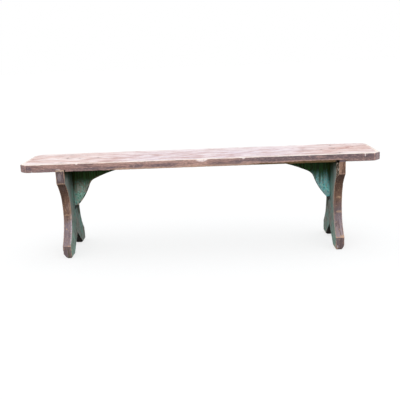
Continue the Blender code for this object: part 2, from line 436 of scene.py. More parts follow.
def mark_board(piece, board, fold_distance, lap=0.0):
    """Marks a piece for its paint: the distance to the next arris, and the share of edge, not face."""
    places = read_vectors(piece.data.vertices, "co")
    to_sides, to_faces, to_ends = board.distances(places)
    rim = np.clip(0.5 + (to_faces - np.minimum(to_sides, to_ends) + lap) / PAINT_MEETING, 0, 1)
    arris = np.sort(np.stack((to_sides, to_faces, to_ends)), axis=0)[1]
    arris = np.where(rim > 0.5, np.minimum(arris, fold_distance(*places.T)), arris)
    add_values(piece.data, "rim", "POINT", rim)
    add_values(piece.data, "arris", "POINT", np.clip(arris, 0, 0.05))


def finish_piece(piece, node, material):
    piece.data.materials.clear()
    piece.data.materials.append(material)
    piece.data.shade_smooth()
    piece.data.set_sharp_from_angle(angle=SHARP_ANGLE)
    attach(piece, BODY)
    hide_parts(node)


def drive_nails(piece, *names):
    """Makes the holes of the nails whose names begin like one of these."""
    holes = Cutter("nail holes")
    for nail in NAILS:
        if nail.startswith(names):
            holes.pocket(nail)
    holes.take_from(piece)


def even_stations(start, end, step, *closer):
    """Places from start to end about a step apart, with closer stretches as (middle, reach, step)."""
    places = [np.linspace(start, end, round((end - start) / step) + 1)]
    for middle, reach, fine in closer:
        places.append(np.arange(middle - reach, middle + reach + fine / 2, fine))
    together = np.unique(np.round(np.concatenate(places), 6))
    together = together[(together >= start) & (together <= end)]
    apart = np.append(True, np.diff(together) > 0.0004)
    return together[apart]


def seat_half_depth(x):
    in_middle = soft_max(np.array(-SEAT_CLIP), SOFT_CLIP)
    return SEAT_HIGH.y - soft_max(np.abs(x) - SEAT_CLIP, SOFT_CLIP) + in_middle


def seat_folds(x, y, z):
    """Distance to the upright arrises at both ends of a clipped corner."""
    to_long_edge = np.hypot(np.abs(x) - SEAT_CLIP, np.abs(y) - SEAT_HIGH.y)
    to_end = np.hypot(np.abs(x) - SEAT_HIGH.x, np.abs(y) - (SEAT_HIGH.y - SEAT_CORNER_CLIP))
    return np.minimum(to_long_edge, to_end)


def build_seat(material):
    board = Board("seat", (0, 1, 2), (0, 0, SEAT_MIDDLE), 1, SEAT_SEED)
    closer = [(place, reach * 1.4, reach / 6) for place, reach, _, _ in SEAT_CHIPS]
    closer += [(-SEAT_CLIP, 0.012, 0.0015), (SEAT_CLIP, 0.012, 0.0015)]
    stations = even_stations(SEAT_LOW.x, SEAT_HIGH.x, 0.005, *closer)
    half = (SEAT_HIGH.z - SEAT_LOW.z) / 2
    board.shape(stations, half, lambda x: -seat_half_depth(x), seat_half_depth, face_steps=30)
    board.wear(*SEAT_RADII, SEAT_CHIPS)
    piece = add_object("seat_board", board.build())
    housings = Cutter("housings")
    half_width, reach = LEG_HALF_THICKNESS + CLEARANCE, SEAT_HIGH.y + CUT_PAST
    for side in SIDES:
        outline = [(LEG_CENTRE[side] + a * half_width, b * reach) for a, b in SQUARE]
        housings.prism(outline, 2, UNDERSIDE - CUT_PAST, UNDERSIDE + HOUSING_DEPTH)
    housings.take_from(piece)
    drive_nails(piece, "left_leg", "left_bracket_top", "right_leg", "right_bracket_top")
    split_seat(piece)
    mark_board(piece, board, seat_folds, SEAT_EDGE_LAP)
    mark_stains(piece)
    finish_piece(piece, "seat_plank", material)


def split_seat(piece):
    """Thin drying checks that run in from the ends of the plank, and the short gashes in its top."""
    splits = Cutter("splits")
    for end, y, length, width, depth, lean in DRYING_CHECKS:
        outside = end * (SEAT_HIGH.x + CUT_PAST)
        inside = (end * (SEAT_HIGH.x - length), y + lean)
        rings = []
        for half, height in ((width / 4, -depth), (width, CUT_PAST)):
            outline = ((outside, y - half), (outside, y + half), inside)
            rings.append([(*point, SEAT_TOP + height) for point in outline])
        splits.loft(rings)
    for start, finish, width, depth in GASHES:
        start, finish = Vector(start), Vector(finish)
        middle, along = (start + finish) / 2, finish - start
        side = Vector((-along.y, along.x)).normalized() * width
        rings = []
        for share, height in ((0.4, -depth), (1.6, depth)):
            outline = (start, middle - side, finish, middle + side)
            rings.append([(*middle.lerp(point, share), SEAT_TOP + height) for point in outline])
        splits.loft(rings)
    splits.take_from(piece)


def mark_stains(piece):
    """Marks where the iron of the nails has stained the wood."""
    places = read_vectors(piece.data.vertices, "co")[:, :2]
    stain = np.zeros(len(places))
    for nail in NAILS:
        low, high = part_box(nail)
        away = (places - np.array((low + high).xy) / 2) / STAIN_REACH
        stain = np.maximum(stain, np.exp(-(away ** 2).sum(axis=1)))
    add_values(piece.data, "stain", "POINT", stain)


def leg_half_width(z):
    """The round scoop between foot and shoulder, with both of its folds worn soft."""
    half_chord = (SHOULDER - FOOT_HEIGHT) / 2
    radius = (half_chord ** 2 + SCOOP_DEPTH ** 2) / (2 * SCOOP_DEPTH)
    from_middle = z - (SHOULDER + FOOT_HEIGHT) / 2
    depth = np.sqrt(np.clip(radius ** 2 - from_middle ** 2, 0, None)) - (radius - SCOOP_DEPTH)
    return LEG_HALF_WIDTH - soft_max(depth, SOFT_FOLD)


def leg_folds(x, y, z):
    """Distance to the folds above and below the scoop."""
    return np.minimum(np.abs(z - SHOULDER), np.abs(z - FOOT_HEIGHT))


def from_chamfer(x, y):
    """How far a point lies in front of the right-hand leg's chamfer, as a share of its depth."""
    return (x - INNER_FACE["right"]) / CHAMFER_ACROSS + (y + LEG_HALF_WIDTH) / CHAMFER_BACK - 1


def hewn_leg_folds(x, y, z):
    """The same on the right-hand leg, where the chamfer makes one more arris."""
    to_chamfer = np.abs(from_chamfer(x, y)) * CHAMFER_ACROSS
    return np.minimum(leg_folds(x, y, z), np.where(z > CHAMFER_FOOT, to_chamfer, 1.0))


def notch_half_width(z):
    return NOTCH_WIDTH / 2 * (1 - z / NOTCH_HEIGHT)


def build_leg(side, material):
    centre = LEG_CENTRE[side]
    board = Board(f"{side} leg", (2, 1, 0), (centre, 0, 0), 1, LEG_SEED[side])
    stations = even_stations(0, LEG_TOP, 0.004, (SHOULDER, 0.008, 0.001), (FOOT_HEIGHT, 0.008, 0.001))
    board.shape(stations, LEG_HALF_THICKNESS, lambda z: -leg_half_width(z), leg_half_width, face_steps=26)
    board.wear(*LEG_RADII, LEG_CHIPS)
    piece = add_object(f"{side}_leg_board", board.build())
    notch = Cutter("notch")
    mouth = notch_half_width(-CUT_PAST)
    outline = [(-mouth, -CUT_PAST), (mouth, -CUT_PAST), (0, NOTCH_HEIGHT)]
    notch.prism(outline, 0, centre - 2 * LEG_HALF_THICKNESS, centre + 2 * LEG_HALF_THICKNESS)
    notch.take_from(piece)
    folds = leg_folds
    if side == "right":
        folds = hewn_leg_folds
        arris = (INNER_FACE["right"], -LEG_HALF_WIDTH)
        span = (CHAMFER_FOOT, LEG_TOP + CUT_PAST)
        hew_arris(piece, 2, span, arris, (CHAMFER_ACROSS, CHAMFER_BACK))
    wear_feet(piece, side)
    drive_nails(piece, f"{side}_leg", f"{side}_bracket_side")
    mark_board(piece, board, folds)
    mark_leg_cuts(piece, side)
    finish_piece(piece, f"{side}_leg", material)


def hew_arris(piece, axis, span, corner, reach):
    """Takes an arris off a piece along an axis, roughly, as an adze or long wear does.

    corner is where the arris was and reach how far the cut goes from it, both in the two other axes.
    """
    corner, reach = np.array(corner), np.array(reach)
    inward = np.sign(reach) * np.abs(reach[::-1]) / np.hypot(*reach)
    past = np.sign(reach) * CUT_PAST
    outside = (corner + (-past[0], 2 * reach[1]), corner - past, corner + (2 * reach[0], -past[1]))
    rings = []
    for level in np.linspace(*span, round((span[1] - span[0]) / HEWN_STEP) + 1):
        slope = corner + reach * np.stack((1 - HEWN_SHARES, HEWN_SHARES), axis=1)
        spots = np.insert(slope, axis, level, axis=1)
        rough = sum(height * wander(spots, size, seed) for height, size, seed in HEWN_WAVES)
        slope = slope - (rough + HEWN_SHY)[:, None] * inward
        rings.append(np.insert(np.concatenate((slope, outside)), axis, level, axis=1))
    cutter = Cutter("hewn arris")
    cutter.loft(rings)
    cutter.take_from(piece)


def wear_feet(piece, side):
    """Rounds the lower arrises of a leg's two feet, as years of standing on wet ground have."""
    for end, outer, inner in FOOT_WEAR[side]:
        span = sorted((end * FOOT_INSIDE, end * (LEG_HALF_WIDTH + CUT_PAST)))
        outer_face = LEG_CENTRE[side] - INWARD[side] * LEG_HALF_THICKNESS
        hew_arris(piece, 1, span, (outer_face, 0.0), (INWARD[side] * outer[0], outer[1]))
        hew_arris(piece, 1, span, (INNER_FACE[side], 0.0), (-INWARD[side] * inner[0], inner[1]))


def mark_leg_cuts(piece, side):
    """Marks the faces that a saw or an adze left: the notch between the feet, and the chamfer."""
    faces = piece.data.polygons
    x, y, z = read_vectors(faces, "center").T
    across, back, _ = read_vectors(faces, "normal").T
    on_notch = np.abs(np.abs(y) - notch_half_width(z)) < 0.0015
    notch = on_notch & (z < NOTCH_HEIGHT + 0.001) & (np.abs(across) < 0.3)
    add_values(piece.data, "notch", "FACE", notch)
    chamfer = np.zeros(len(faces))
    if side == "right":
        slanted = (across < -0.45) & (back < -0.15)
        chamfer = (np.abs(from_chamfer(x, y)) < 0.25) & slanted & (z > CHAMFER_FOOT - 0.002)
    add_values(piece.data, "chamfer", "FACE", chamfer)


def bracket_drop(reach):
    """The free edge of a bracket: a flat nose, a full belly, a hollow knee and a long hollow sweep."""
    nose = (BRACKET_NOSE, BRACKET_DROP)
    belly = (BELLY_REACH, BELLY_DROP)
    knee = (KNEE_REACH, KNEE_DROP)
    tip = (BRACKET_REACH, BRACKET_TIP)
    parts = [
        np.array([(0, BRACKET_DROP)]),
        arc(nose, belly, BELLY_SAGITTA),
        arc(belly, knee, -KNEE_SAGITTA)[1:],
        arc(knee, tip, -SWEEP_SAGITTA)[1:],
    ]
    reaches, drops = np.concatenate(parts).T
    return np.interp(reach, reaches, drops)


def bracket_folds(x, y, z):
    """Distance to the arris at the end of the nose."""
    reach = np.minimum(np.abs(x - INNER_FACE["left"]), np.abs(x - INNER_FACE["right"]))
    return np.hypot(reach - BRACKET_NOSE, UNDERSIDE - z - BRACKET_DROP)


def build_bracket(side, material):
    origin = (INNER_FACE[side], 0, UNDERSIDE)
    board = Board(f"{side} bracket", (0, 2, 1), origin, INWARD[side], BRACKET_SEED[side])
    closer = (0.060, 0.052, 0.002), (BRACKET_NOSE, 0.004, 0.001)
    board.shape(
        even_stations(CLEARANCE, BRACKET_REACH, 0.004, *closer),
        BRACKET_HIGH[side].y,
        lambda reach: -bracket_drop(reach),
        lambda reach: np.full_like(reach, -CLEARANCE),
        face_steps=18,
    )
    board.wear(*BRACKET_RADII, BRACKET_CHIPS)
    piece = add_object(f"{side}_bracket_board", board.build())
    drive_nails(piece, f"{side}_bracket")
    mark_board(piece, board, bracket_folds)
    finish_piece(piece, f"{side}_bracket", material)


def srgb(red, green, blue):
    """A colour as a screen shows it, from 0 to 255, in the linear values that a shader takes."""
    linear = []
    for value in (red / 255, green / 255, blue / 255):
        linear.append(value / 12.92 if value <= 0.04045 else ((value + 0.055) / 1.055) ** 2.4)
    return (*linear, 1.0)


class Tree:
    """Lays out shader nodes. Its methods return the socket that comes out.

    Any value given to them may be a tuple that starts with a socket, which stands for a range of it.
    """

    def __init__(self, owner):
        owner.use_nodes = True
        self.owner = owner
        self.nodes, self.links = owner.node_tree.nodes, owner.node_tree.links

    def feed(self, socket, value):
        if isinstance(value, tuple) and isinstance(value[0], bpy.types.NodeSocket):
            value = self.range(*value)
        if isinstance(value, bpy.types.NodeSocket):
            self.links.new(value, socket)
        else:
            socket.default_value = value

    def add(self, kind, inputs=(), **settings):
        """Adds a node, feeds its inputs by number or name, and returns its outputs."""
        node = self.nodes.new("ShaderNode" + kind)
        for name, value in settings.items():
            setattr(node, name, value)
        for key, value in dict(inputs).items():
            self.feed(node.inputs[key], value)
        return node.outputs

    def math(self, operation, first, second=0.0, clamp=False):
        return self.add("Math", {0: first, 1: second}, operation=operation, use_clamp=clamp)[0]

    def times(self, first, *others):
        for other in others:
            first = self.math("MULTIPLY", first, other)
        return first

    def plus(self, first, second, clamp=False):
        return self.math("ADD", first, second, clamp)

    def minus(self, first, second):
        return self.math("SUBTRACT", first, second)

    def size(self, value):
        return self.math("ABSOLUTE", value)

    def swing(self, noise, reach):
        """A noise made into a shift of up to half a reach either way."""
        return self.times(self.minus(noise, 0.5), reach)

    def range(self, value, low, high, to_low=0.0, to_high=1.0, kind="SMOOTHSTEP"):
        """A number that goes softly from one end to another as a value goes from low to high."""
        numbers = (value, low, high, to_low, to_high)
        return self.add("MapRange", enumerate(numbers), interpolation_type=kind)[0]

    def blend(self, share, first, second):
        """A number that goes from the first to the second as a share goes from 0 to 1."""
        return self.range(share, 0.0, 1.0, first, second)

    def near(self, value, middle, reach):
        """1 at the middle, falling softly to 0 at that reach on either side."""
        return self.range(self.size(self.minus(value, middle)), reach, 0.0)

    def spot(self, first, second, middle, reach):
        """1 in the middle of an oval in two coordinates, falling softly to 0 at its reach."""
        squares = []
        for value, centre, half in zip((first, second), middle, reach):
            offset = self.math("DIVIDE", self.minus(value, centre), half)
            squares.append(self.times(offset, offset))
        return self.range(self.plus(*squares), 1.0, 0.3)

    def spots(self, first, second, marks):
        """The sum of several spots, each given as (middle, reach, strength)."""
        total = 0.0
        for middle, reach, strength in marks:
            spot = self.spot(first, second, middle, reach)
            total = self.plus(total, self.times(spot, strength), clamp=True)
        return total

    def mix(self, share, first, second):
        return self.add("Mix", {0: share, 6: first, 7: second}, data_type="RGBA")[2]

    def mix_shader(self, share, first, second):
        return self.add("MixShader", {0: share, 1: first, 2: second})[0]

    def show(self, output, lit, seen):
        """Gives light with one shader, and shows another to rays that the camera, gloss or glass sends."""
        path = self.add("LightPath")
        direct = path["Is Camera Ray"]
        for kind in ("Is Glossy Ray", "Is Transmission Ray"):
            direct = self.math("MAXIMUM", direct, path[kind])
        self.feed(self.nodes[output].inputs["Surface"], self.mix_shader(direct, lit, seen))


class Paint(Tree):
    """The nodes of a material, laid out over the bench in metres."""

    def __init__(self, name):
        super().__init__(bpy.data.materials.new(name))
        self.place = self.add("TexCoord")["Object"]
        self.x, self.y, self.z = self.split(self.place)

    def split(self, vector):
        return tuple(self.add("SeparateXYZ", {0: vector}))

    def vector(self, operation, first, second):
        return self.add("VectorMath", {0: first, 1: second}, operation=operation)[0]

    def scale(self, vector, factor):
        return self.add("VectorMath", {0: vector, "Scale": factor}, operation="SCALE")[0]

    def attribute(self, name):
        return self.add("Attribute", attribute_name=name)["Fac"]

    def sides(self):
        """The shares of the left-hand and of the right-hand end."""
        right = self.range(self.x, -0.1, 0.1)
        return self.minus(1.0, right), right

    def noise(self, per_metre, detail=4.0, roughness=0.55, place=None, seed=0.0):
        """Noise with so many features per metre along X, Y and Z."""
        scaled = self.vector("MULTIPLY", place or self.place, per_metre)
        inputs = {"Vector": scaled, "W": seed, "Scale": 1.0, "Detail": detail, "Roughness": roughness}
        return self.add("TexNoise", inputs, noise_dimensions="4D")["Fac"]

    def bend(self, share, reach):
        """The place, shifted by up to half of reach either way as a share goes from 0 to 1."""
        return self.vector("ADD", self.place, self.scale(reach, self.minus(share, 0.5)))

    def rings(self, place, axis, pith, gap):
        """Growth rings round a pith along an axis, rising slowly to late wood and falling sharply."""
        sockets = list(self.split(place))
        del sockets[axis]
        squares = [self.math("POWER", self.minus(socket, at), 2.0) for socket, at in zip(sockets, pith)]
        radius = self.math("SQRT", self.plus(*squares))
        return self.range(self.math("FRACT", self.math("DIVIDE", radius, gap)), 0.35, 0.95)

    def finish(self, colour, roughness, relief, depth, specular, metallic=0.0):
        looks = {
            "Base Color": colour,
            "Roughness": roughness,
            "Specular IOR Level": specular,
            "Metallic": metallic,
            "Normal": self.add("Bump", {"Strength": 1.0, "Distance": depth, "Height": relief})[0],
        }
        for name, value in looks.items():
            self.feed(self.nodes["Principled BSDF"].inputs[name], value)
        return self.owner


class Coat:
    """A colour that is built up by laying paint over paint."""

    def __init__(self, paint, colour):
        self.paint, self.colour = paint, colour

    def lay(self, colour, *shares):
        """Lays a colour over what is there, by all of these shares together."""
        self.colour = self.paint.mix(self.paint.times(*shares), self.colour, colour)

    def shade(self, factor):
        """Makes what is there lighter or darker."""
        self.colour = self.paint.scale(self.colour, factor)


# Colours of the seat
WASH_PALE = srgb(241, 220, 215)
WASH_WHITE = srgb(250, 240, 240)
WASH_LAVENDER = srgb(231, 219, 230)
WASH_WARM = srgb(235, 203, 194)
WASH_DENT = srgb(242, 226, 224)
WASH_STREAK = srgb(186, 140, 133)
WASH_CHECK = srgb(120, 82, 76)
WORN_CREAM = srgb(255, 246, 232)
EDGE_TAN = srgb(210, 170, 158)
EDGE_BROWN = srgb(163, 128, 122)
EDGE_MAUVE = srgb(127, 110, 115)
EDGE_DARK = srgb(84, 68, 68)
EDGE_GAP = srgb(34, 26, 26)
EDGE_OLIVE = srgb(104, 80, 46)
IRON_STAIN = srgb(104, 80, 76)
GASH_RED = srgb(168, 112, 106)

# Colours of the legs, the brackets and the nails
RIM_BROWN = srgb(142, 111, 95)
RIM_MAUVE = srgb(153, 137, 143)
RIM_WARM = srgb(176, 138, 120)
RIM_SLATE = srgb(118, 103, 106)
RIM_LILAC = srgb(214, 202, 210)
RIM_DARK = srgb(72, 56, 48)
BARE_TAN = srgb(216, 178, 146)
TOP_CREAM = srgb(238, 208, 182)
MOSS = srgb(104, 104, 58)
FACE_GREEN = srgb(138, 158, 152)
FACE_GREY = srgb(154, 151, 144)
FACE_PALE = srgb(188, 200, 194)
FACE_TEAL = srgb(92, 166, 148)
FACE_TOE = srgb(172, 206, 190)
FACE_MINT = srgb(146, 200, 184)
FACE_DARK = srgb(62, 66, 54)
OUTER_BROWN = srgb(142, 114, 98)
# Near-black: dirty bare wood in the notches, and painted shadow there, under the seat and below the
# brackets' noses
DIRT_AND_SHADOW_BLACK = srgb(22, 17, 11)
PAINT_GREEN = srgb(150, 194, 174)
PAINT_TEAL = srgb(130, 228, 238)
PAINT_DEEP = srgb(52, 86, 44)
PAINT_WORN = srgb(180, 176, 164)
# Painted shade: near-black green laid under the seat, beside the brackets' joints and below their noses,
# with some grime
SHADE_AND_GRIME = srgb(38, 46, 10)
PAINT_BRIGHT = srgb(176, 244, 228)
PAINT_SHADE = srgb(74, 98, 84)
PAINT_RIM = srgb(60, 64, 54)
IRON_DARK = srgb(84, 72, 70)
IRON_RUST = srgb(128, 92, 78)

# Marks on the seat's front edge as (place along X and Z, reach along X and Z, strength)
PALE_DENTS = (
    ((-0.754, UNDERSIDE), (0.004, 0.009), 1.0),
    ((-0.633, LEG_TOP + 0.002), (0.014, 0.005), 0.7),
    ((-0.549, SEAT_TOP), (0.006, 0.005), 1.0),
    ((0.014, SEAT_TOP), (0.032, 0.013), 1.0),
    ((0.200, SEAT_TOP), (0.010, 0.007), 1.0),
    ((0.739, SEAT_TOP - 0.005), (0.0030, 0.011), 1.0),
)
DARK_PATCHES = (
    ((-0.766, SEAT_MIDDLE + 0.001), (0.015, 0.011), 0.8),
    ((-0.765, SEAT_MIDDLE + 0.004), (0.040, 0.022), 0.25),
    ((-0.480, UNDERSIDE + 0.006), (0.150, 0.014), 0.6),
    ((-0.370, UNDERSIDE + 0.011), (0.060, 0.008), 0.6),
    ((-0.280, SEAT_MIDDLE - 0.001), (0.040, 0.012), 0.85),
    ((-0.140, SEAT_MIDDLE - 0.003), (0.095, 0.012), 0.8),
    ((0.085, SEAT_MIDDLE - 0.005), (0.045, 0.012), 0.6),
    ((0.165, SEAT_MIDDLE - 0.006), (0.050, 0.014), 0.6),
    ((-0.680, UNDERSIDE + 0.009), (0.070, 0.012), 0.8),
)
TAN_PATCHES = (
    ((-0.690, SEAT_MIDDLE + 0.002), (0.060, 0.009), 0.5),
    ((-0.340, SEAT_MIDDLE + 0.009), (0.120, 0.012), 0.5),
    ((-0.190, SEAT_TOP - 0.006), (0.140, 0.008), 0.8),
    ((-0.030, SEAT_MIDDLE), (0.090, 0.036), 1.0),
    ((0.235, SEAT_MIDDLE - 0.006), (0.060, 0.012), 0.9),
    ((0.545, SEAT_MIDDLE + 0.010), (0.028, 0.009), 0.6),
    ((0.800, SEAT_MIDDLE), (0.014, 0.020), 0.4),
)

# Dark gaps beside the legs' housings, and reddish wood round the gashes (place along X and Y)
HOUSING_GAPS = (
    ((-0.6045, UNDERSIDE + 0.005), (0.0045, 0.007), 0.9),
    ((0.6120, UNDERSIDE + 0.004), (0.0060, 0.007), 0.9),
)
RED_GASHES = (
    ((0.703, 0.037), (0.014, 0.015), 0.65),
    ((0.731, 0.051), (0.013, 0.008), 0.65),
    ((0.662, 0.009), (0.014, 0.007), 0.65),
)

# Marks on the legs' front edges: bare scuffs, and two pale places
BARE_SCUFFS = (
    ((0.640, 0.234), (0.014, 0.007), 0.8),
    ((0.641, 0.166), (0.016, 0.006), 0.9),
    ((0.648, 0.064), (0.014, 0.007), 1.0),
    ((-0.632, 0.192), (0.020, 0.004), 0.6),
    ((-0.613, 0.232), (0.006, 0.034), 0.55),
    ((-0.614, 0.180), (0.005, 0.026), 0.5),
    ((-0.633, 0.128), (0.005, 0.005), 1.0),
)
PALE_PATCHES = (
    ((-0.631, 0.386), (0.011, 0.022), 0.22),
    ((0.6235, 0.016), (0.004, 0.008), 0.6),
)

# Painted shadow on the legs' inner faces below the nose of a bracket, as (place along Y and Z, reach)
NOSE_SHADE = ((0.085, UNDERSIDE - BRACKET_DROP - 0.030), (0.065, 0.045))
NOSE_SHADOW_CORE = ((0.045, UNDERSIDE - BRACKET_DROP - 0.012), (0.075, 0.017))


def seat_top(t, grain, fibre):
    """The pale wash: warm at both ends, lavender between, worn through to reddish wood along the grain."""
    streak = t.noise((4, 46, 46), 5.0, 0.65, grain, seed=2.0)
    fine_streak = t.noise((11, 110, 110), 4.0, 0.6, grain, seed=6.0)
    mottle = t.noise((26, 70, 70), 3.0, 0.6, grain, seed=8.0)
    blotch = t.noise((11, 58, 58), 4.0, 0.65, grain, seed=9.0)
    broad = t.noise((3.2, 15, 15), 3.0, 0.5, seed=1.0)
    check = t.range(t.noise((3.0, 120, 120), 3.0, 0.5, grain, seed=5.0), 0.66, 0.71)
    middle = t.range(t.size(t.minus(t.x, 0.06)), 0.62, 0.26)
    top = Coat(t, WASH_WARM)
    top.lay(WASH_PALE, (broad, 0.42, 0.60))
    top.lay(WASH_LAVENDER, middle, (streak, 0.62, 0.42, 0.45, 0.9))
    top.lay(WASH_WHITE, (mottle, 0.55, 0.64), 0.75)
    for lines in (streak, fine_streak):
        top.lay(WASH_STREAK, (lines, 0.52, 0.61), 0.7)
    top.lay(WASH_STREAK, (blotch, 0.51, 0.60), 0.6)
    top.lay(WASH_WHITE, (blotch, 0.49, 0.39), 0.9)
    top.lay(WASH_CHECK, check, 0.75)
    top.lay(WASH_STREAK, (t.x, 0.40, 0.62), 0.13)
    worn_ends = t.times((t.y, -0.05, -0.11), (t.size(t.x), 0.58, 0.70), 0.5)
    top.lay(WASH_WHITE, t.plus(worn_ends, (t.y, 0.05, 0.11, 0.0, 0.3)))
    top.lay(GASH_RED, t.spots(t.x, t.y, RED_GASHES))
    top.shade((fibre, 0.25, 0.75, 0.90, 1.06))
    return top, check, broad


def seat_edge(t):
    """The plank's edges: tan over brown to the left, dark mauve over an olive arris to the right."""
    streak = t.noise((13, 90, 210), 5.0, 0.65, seed=3.0)
    fleck = t.noise((80, 150, 270), 4.0, 0.7, seed=4.0)
    patch = t.noise((7, 20, 40), 3.0, 0.55, seed=7.0)
    right = t.range(t.x, 0.13, 0.26)
    upper = t.range(t.z, SEAT_MIDDLE, SEAT_TOP - 0.006)
    edge = Coat(t, EDGE_BROWN)
    edge.lay(EDGE_TAN, (streak, 0.44, 0.62), 0.55)
    edge.lay(EDGE_TAN, upper, (t.x, -0.62, -0.52, 0.12, 0.42), t.minus(1.0, right))
    dark = t.plus(t.spots(t.x, t.z, DARK_PATCHES), (patch, 0.50, 0.68, 0.0, 0.5))
    mauve = t.plus(t.times(right, 0.9), dark, clamp=True)
    edge.lay(EDGE_MAUVE, mauve, (fleck, 0.42, 0.64, 1.0, 0.65))
    edge.lay(EDGE_DARK, (streak, 0.45, 0.37), 0.75)
    tan = t.spots(t.x, t.z, TAN_PATCHES)
    edge.lay(EDGE_TAN, tan, (streak, 0.36, 0.52, 0.1, 0.6))
    edge.lay(EDGE_TAN, (t.plus(fleck, t.times(tan, 0.06)), 0.58, 0.64, 0.0, 0.8))

    height = t.minus(t.z, UNDERSIDE)
    ragged = t.plus(t.swing(fleck, 0.016), t.swing(streak, 0.024))
    wearing = t.minus(t.plus(height, ragged), (t.x, 0.10, 0.60, 0.0, 0.006))
    low = t.range(wearing, 0.010, 0.005)
    bared = t.times((t.x, -0.46, -0.40, 0.3, 1.0), (t.x, 0.62, 0.66, 1.0, 0.4))
    edge.lay(EDGE_TAN, low, (fleck, 0.42, 0.52, 0.25, 0.8), bared)
    edge.lay(BARE_TAN, low, (t.x, -0.44, -0.34), (t.x, 0.30, 0.22), 0.5)
    damp = t.times((t.x, 0.20, 0.28), (t.x, 0.68, 0.64))
    olive_top = t.range(t.x, 0.36, 0.46, 0.0090, 0.0110)
    above = t.minus(t.plus(height, t.times(ragged, 0.3)), olive_top)
    edge.lay(EDGE_TAN, t.near(above, 0.0018, 0.0040), damp, (t.x, 0.50, 0.58, 0.9, 0.1))
    edge.lay(EDGE_OLIVE, (above, 0.0, -0.0015, 0.0, 0.95), damp)

    edge.lay(EDGE_TAN, t.near(t.size(t.x), SEAT_CLIP, 0.005), (fleck, 0.36, 0.50, 0.3, 0.85))
    edge.lay(EDGE_MAUVE, (t.x, 0.004 - SEAT_CLIP, -0.004 - SEAT_CLIP), 0.25)
    edge.lay(WASH_LAVENDER, (t.x, 0.782, 0.788), 0.16)
    edge.lay(EDGE_GAP, t.spots(t.x, t.z, HOUSING_GAPS))
    edge.lay(WASH_DENT, t.spots(t.x, t.z, PALE_DENTS), (fleck, 0.36, 0.50, 0.35, 0.9))
    edge.shade((fleck, 0.32, 0.68, 0.80, 1.20))
    return edge, fleck


def seat_material():
    t = Paint("worn washed plank")
    grain = t.bend(t.noise((1.3, 7, 7), 2.0), (0.0, 0.030, 0.030))
    fibre = t.noise((16, 280, 280), 5.0, 0.6, grain)
    late = t.rings(grain, 0, (0.03, SEAT_TOP - 0.24), 0.0085)
    coat, check, broad = seat_top(t, grain, fibre)
    edge, fleck = seat_edge(t)
    worn = t.plus(t.attribute("arris"), t.swing(fleck, 0.030))
    cream = t.range(worn, (t.y, -0.14, -0.10, 0.026, 0.015), 0.009)
    coat.lay(WORN_CREAM, cream, (t.y, -0.10, 0.02, 0.95, (broad, 0.40, 0.58, 0.05, 0.7)))
    coat.lay(IRON_STAIN, t.attribute("stain"), 0.45)
    under = Coat(t, PAINT_DEEP)
    under.lay(FACE_DARK, (fibre, 0.40, 0.60))
    under.lay(FACE_GREY, (fleck, 0.52, 0.62), 0.6)
    edge.lay(EDGE_DARK, (t.size(t.x), SEAT_HIGH.x - 0.005, SEAT_HIGH.x - 0.002), late, 0.8)
    coat.lay(under.colour, (t.z, SEAT_MIDDLE + 0.004, SEAT_MIDDLE - 0.004))
    coat.lay(edge.colour, t.attribute("rim"))
    relief = t.plus(t.times(fibre, 0.6), t.plus(t.times(late, 0.15), t.times(check, -0.6)))
    return t.finish(coat.colour, (fibre, 0.3, 0.7, 0.52, 0.72), relief, 0.0008, 0.25)


